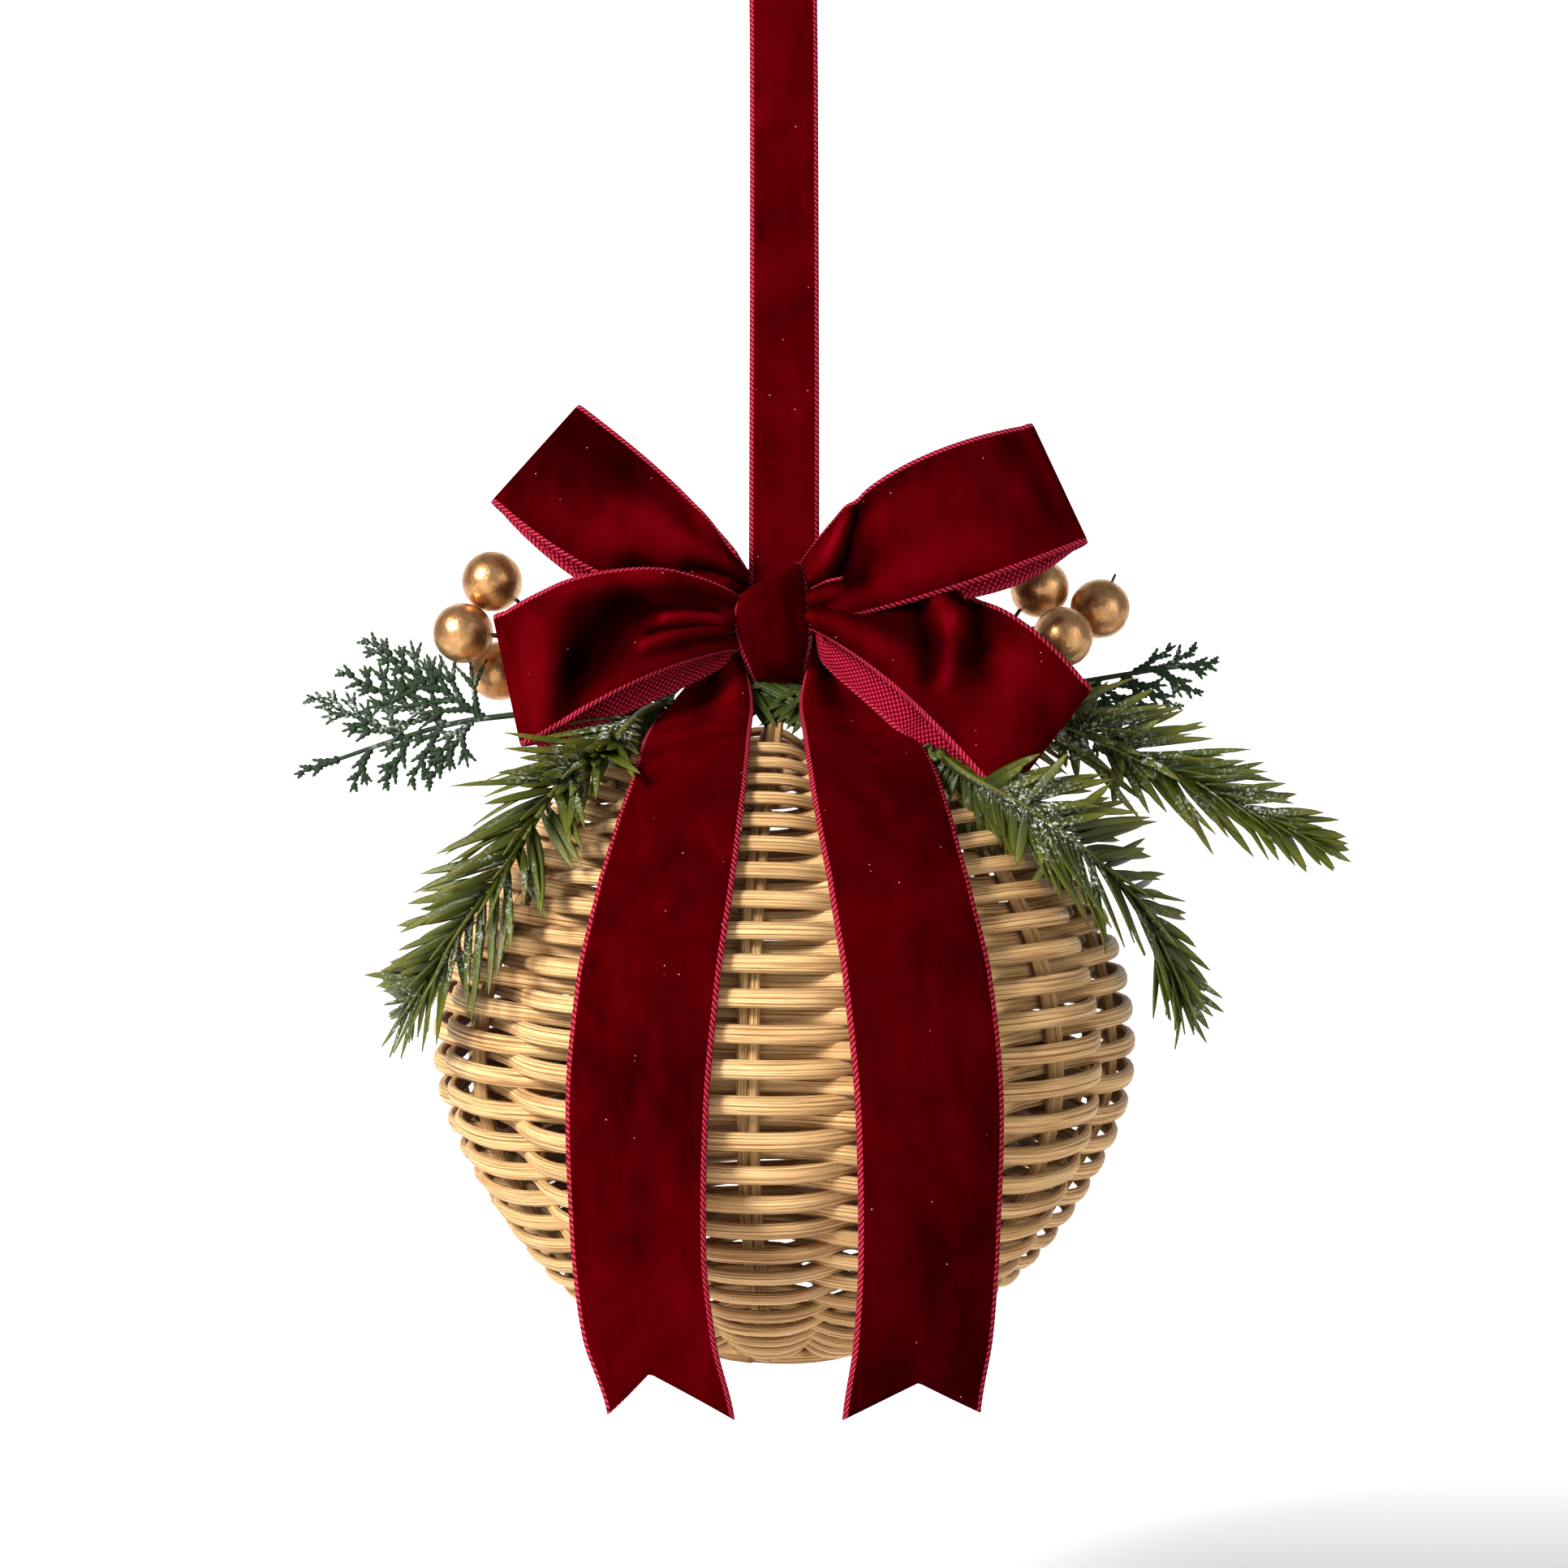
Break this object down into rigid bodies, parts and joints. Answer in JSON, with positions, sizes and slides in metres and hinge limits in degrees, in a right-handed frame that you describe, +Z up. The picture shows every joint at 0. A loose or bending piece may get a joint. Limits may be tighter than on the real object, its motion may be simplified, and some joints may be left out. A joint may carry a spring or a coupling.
{
  "type": "rattan bell ornament",
  "caption": "Hanging ball ornament of open woven rattan with a velvet bow, long ribbon tails, greenery sprigs and gold berries on a velvet hanging loop.",
  "frame": {"origin": "inside of the top turn of the hanging loop, where the ornament rests on its hook", "axes": "+Z up, +Y away from the viewer, so that the bow faces -Y; +X to the viewer's right"},
  "size_m": [0.2517, 0.1707, 0.344],
  "materials": {
    "rattan": "natural peeled reed, satin",
    "velvet": "deep red cotton velvet with a woven selvedge",
    "needle_green": "moulded leaves dusted with white frost",
    "cedar_green": "moulded scale leaves dusted with white frost",
    "gold": "satin antique gold paint",
    "wire": "dark wrapped wire"
  },
  "bodies": {
    "root": {"rattan_weaver": "rattan", "rattan_base": "rattan", "stake_01": "rattan", "stake_02": "rattan", "stake_03": "rattan", "stake_04": "rattan", "stake_05": "rattan", "stake_06": "rattan", "stake_07": "rattan", "stake_08": "rattan", "stake_09": "rattan", "stake_10": "rattan", "stake_11": "rattan", "stake_12": "rattan", "stake_13": "rattan", "hanger_ribbon": "velvet", "neck_wrap": "velvet", "bow_knot": "velvet", "bow_loop_upper_left": "velvet", "bow_loop_upper_right": "velvet", "bow_loop_lower_left": "velvet", "bow_loop_lower_right": "velvet", "tail_left": "velvet", "tail_right": "velvet", "needle_sprig_left": "needle_green", "needle_sprig_right_long": "needle_green", "needle_sprig_right_low": "needle_green", "smooth_leaf_pair": "needle_green", "cedar_sprig_left": "cedar_green", "cedar_sprig_right": "cedar_green", "gold_berry_left_1": "gold", "gold_berry_left_2": "gold", "gold_berry_left_3": "gold", "gold_berry_right_1": "gold", "gold_berry_right_2": "gold", "gold_berry_right_3": "gold", "berry_wires_left": "wire", "berry_wires_right": "wire"}
  },
  "joints": []
}
